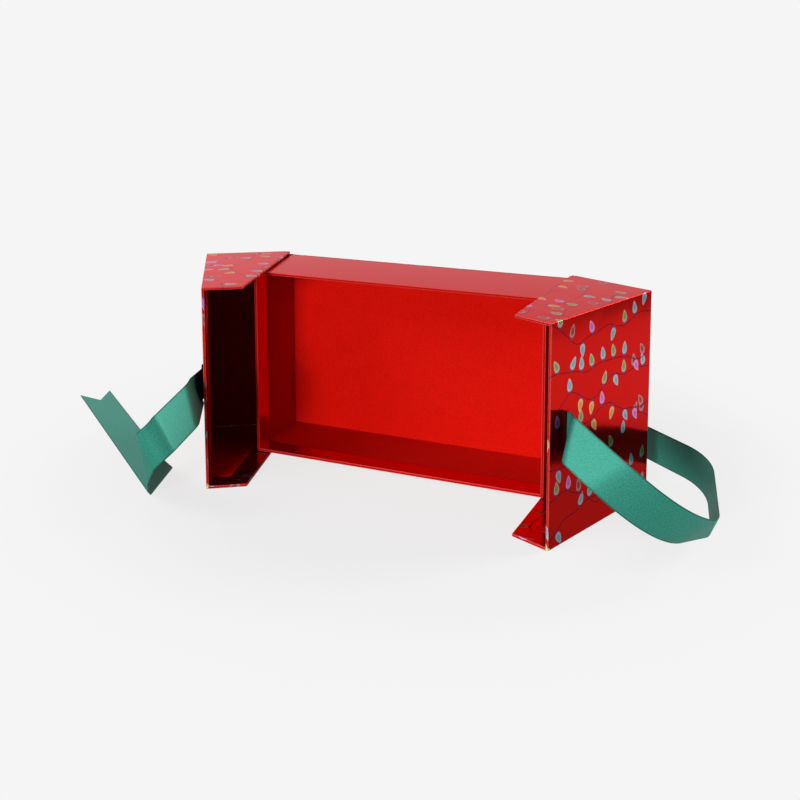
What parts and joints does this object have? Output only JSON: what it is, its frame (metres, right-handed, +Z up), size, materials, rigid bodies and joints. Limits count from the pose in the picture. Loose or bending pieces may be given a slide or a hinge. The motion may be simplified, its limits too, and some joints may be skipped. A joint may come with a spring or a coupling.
{
  "type": "gift box",
  "caption": "Rigid paper-covered gift box with two doors, a tray for papers and keepsakes, and a satin tie ribbon on each lid.",
  "frame": {"origin": "centre of the back panel's outer face, where the two doors hinge at its ends", "axes": "+X towards the right door seen from the front, +Y out of the back, +Z up with the box standing on its long side"},
  "size_m": [0.5411, 0.2151, 0.143],
  "materials": {
    "cover_paper": "glossy printed paper on board",
    "lining_paper": "plain dyed paper with a low gloss",
    "grey_board": "bare grey board",
    "satin": "satin ribbon"
  },
  "bodies": {
    "tray": {"back_panel": "cover_paper", "tray_floor": "grey_board", "tray_top_wall": "grey_board", "tray_bottom_wall": "grey_board", "tray_left_wall": "grey_board", "tray_right_wall": "grey_board", "tray_wrap": "cover_paper", "tray_wall_lining": "lining_paper", "tray_floor_lining": "lining_paper", "left_hinge_strip": "cover_paper", "right_hinge_strip": "cover_paper"},
    "left_door": {"left_lid_panel": "cover_paper", "left_end_panel": "cover_paper", "left_top_flap": "cover_paper", "left_bottom_flap": "cover_paper", "left_lid_lining": "lining_paper", "left_end_lining": "lining_paper", "left_top_flap_lining": "lining_paper", "left_bottom_flap_lining": "lining_paper", "left_ribbon": "satin"},
    "right_door": {"right_lid_panel": "cover_paper", "right_end_panel": "cover_paper", "right_top_flap": "cover_paper", "right_bottom_flap": "cover_paper", "right_lid_lining": "lining_paper", "right_end_lining": "lining_paper", "right_top_flap_lining": "lining_paper", "right_bottom_flap_lining": "lining_paper", "right_ribbon": "satin"}
  },
  "joints": [
    {"name": "left_door_hinge", "type": "hinge", "parent": "tray", "child": "left_door", "pos_m": [-0.1125, 0, 0], "axis": [0, 0, -1], "range_deg": [-59.7, 30.3], "deforming": ["left_ribbon"]},
    {"name": "right_door_hinge", "type": "hinge", "parent": "tray", "child": "right_door", "pos_m": [0.1125, 0, 0], "axis": [0, 0, 1], "range_deg": [-67.1, 22.9], "deforming": ["right_ribbon"]}
  ]
}
